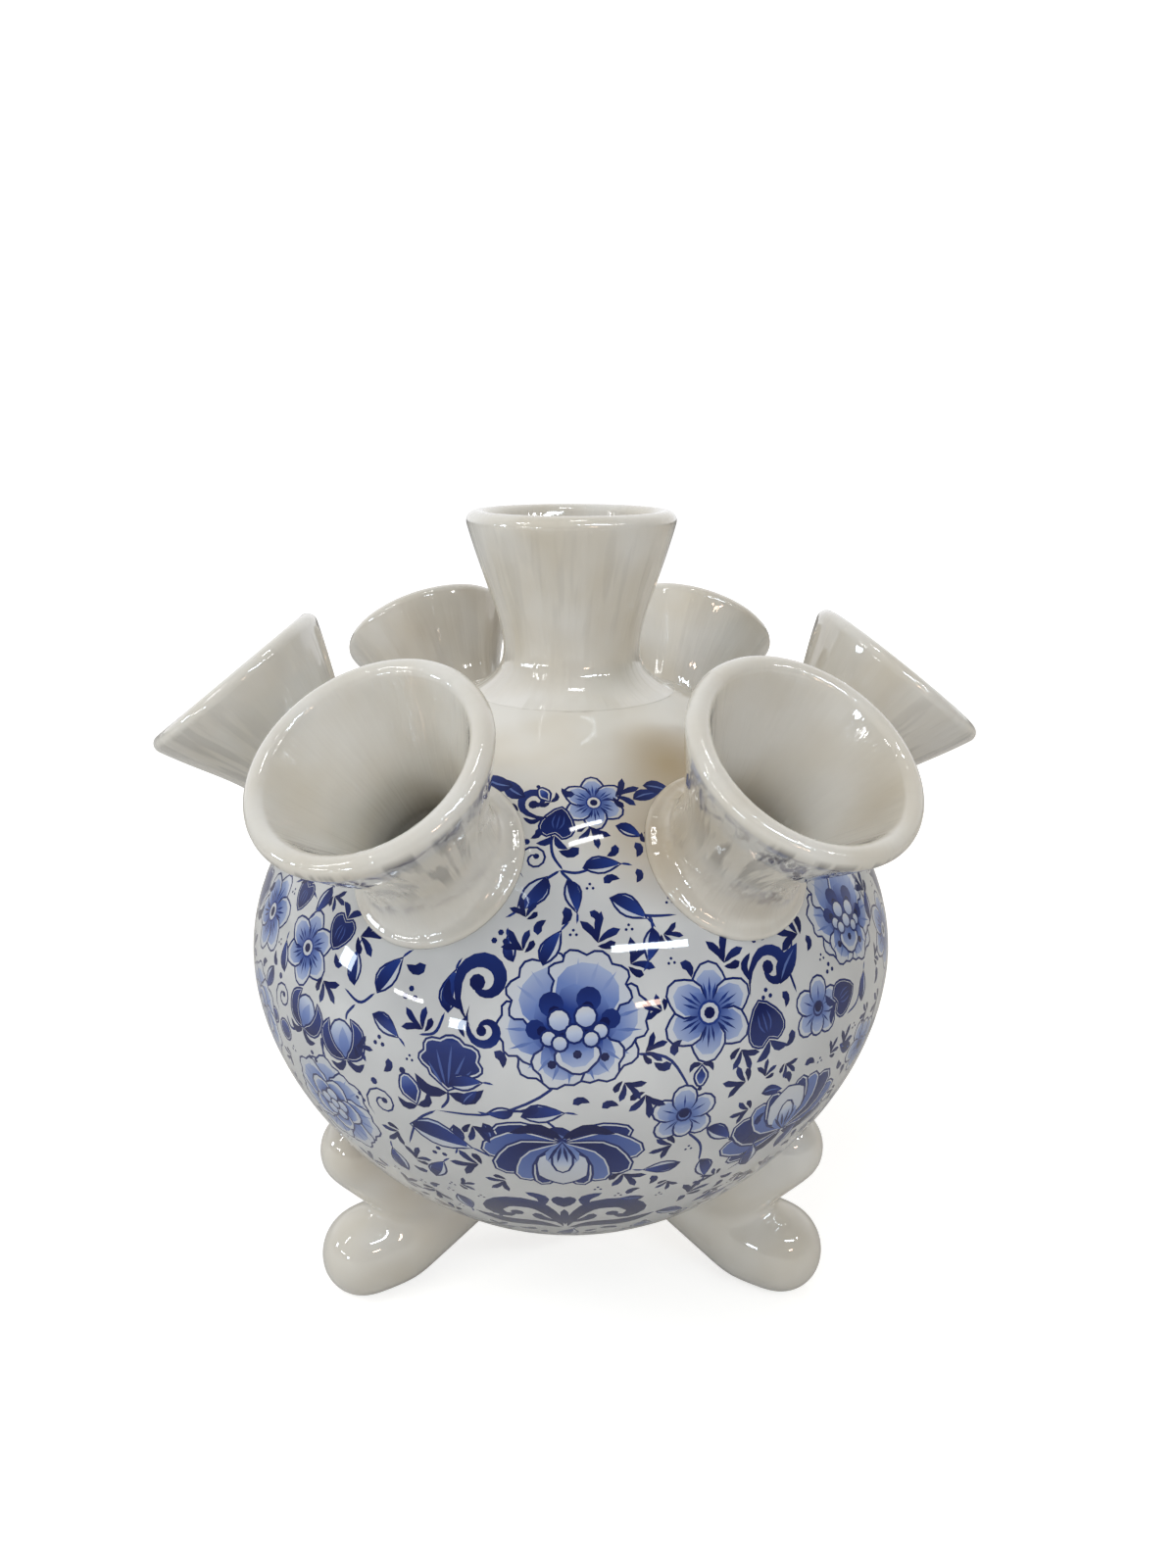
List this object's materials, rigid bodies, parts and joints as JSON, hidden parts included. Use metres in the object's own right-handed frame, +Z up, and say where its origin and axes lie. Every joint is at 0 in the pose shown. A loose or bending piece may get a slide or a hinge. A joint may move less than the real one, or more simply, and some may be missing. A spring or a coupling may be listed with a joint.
{
  "type": "tulip vase",
  "caption": "Round glazed pottery tulip vase on scroll feet, with a flared neck and a ring of flared side spouts for cut flowers.",
  "frame": {"origin": "on the ground, under the middle of the globe", "axes": "+Z up along the globe's and the neck's axis; +X along the axis of one side spout, to the right of the pictured view; -Y towards the viewer of the picture"},
  "size_m": [0.1726, 0.156, 0.1685],
  "materials": {
    "printed_glaze": "glossy clear glaze over cobalt blue flowers on an off-white body",
    "white_glaze": "glossy warm off-white glaze"
  },
  "bodies": {
    "root": {"body_globe": "printed_glaze", "neck_spout": "white_glaze", "neck_collar": "white_glaze", "side_spout_1": "white_glaze", "side_spout_2": "white_glaze", "side_spout_3": "white_glaze", "side_spout_4": "white_glaze", "side_spout_5": "white_glaze", "side_spout_6": "white_glaze", "spout_collar_1": "white_glaze", "spout_collar_2": "white_glaze", "spout_collar_3": "white_glaze", "spout_collar_4": "white_glaze", "spout_collar_5": "white_glaze", "spout_collar_6": "white_glaze", "foot_1": "white_glaze", "foot_2": "white_glaze", "foot_3": "white_glaze"}
  },
  "joints": []
}
